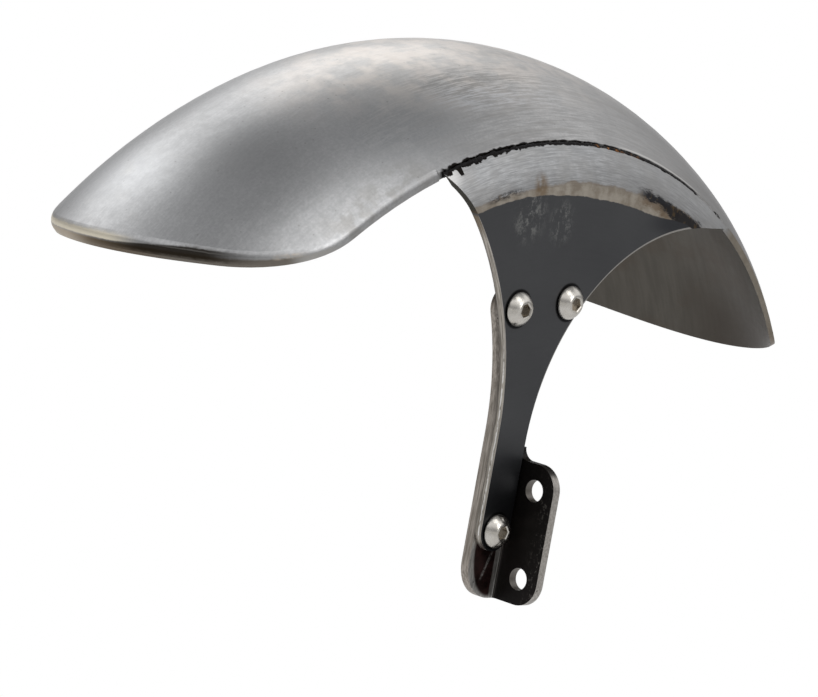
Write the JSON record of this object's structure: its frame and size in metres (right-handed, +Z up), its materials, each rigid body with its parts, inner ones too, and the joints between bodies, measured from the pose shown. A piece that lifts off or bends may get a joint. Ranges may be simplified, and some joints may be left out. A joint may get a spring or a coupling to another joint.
{
  "type": "scooter front fender",
  "caption": "Bare steel front fender for a scooter wheel: a curved pressed shell with a turned-in edge, hung on one side from a welded plate that is screwed to a folded fork bracket.",
  "frame": {"origin": "centre of the two fork bolt holes, on the flange's face that lies against the fork", "axes": "+X the way the scooter drives, +Y to its left, +Z up along the line of the two fork bolts"},
  "size_m": [0.3796, 0.1638, 0.2169],
  "materials": {
    "bare_steel": "bare pressed sheet, satin, with fine pits and rub marks",
    "plate_steel": "dark mill scale with a ground, heat tinted top",
    "weld_metal": "dark ragged weld",
    "bracket_steel": "dark mill scale with light cut edges",
    "screw_steel": "satin stainless"
  },
  "bodies": {
    "root": {"fender_shell": "bare_steel", "seam_weld": "weld_metal", "hanger_plate": "plate_steel", "fork_bracket": "bracket_steel", "button_screws": "screw_steel"}
  },
  "joints": []
}
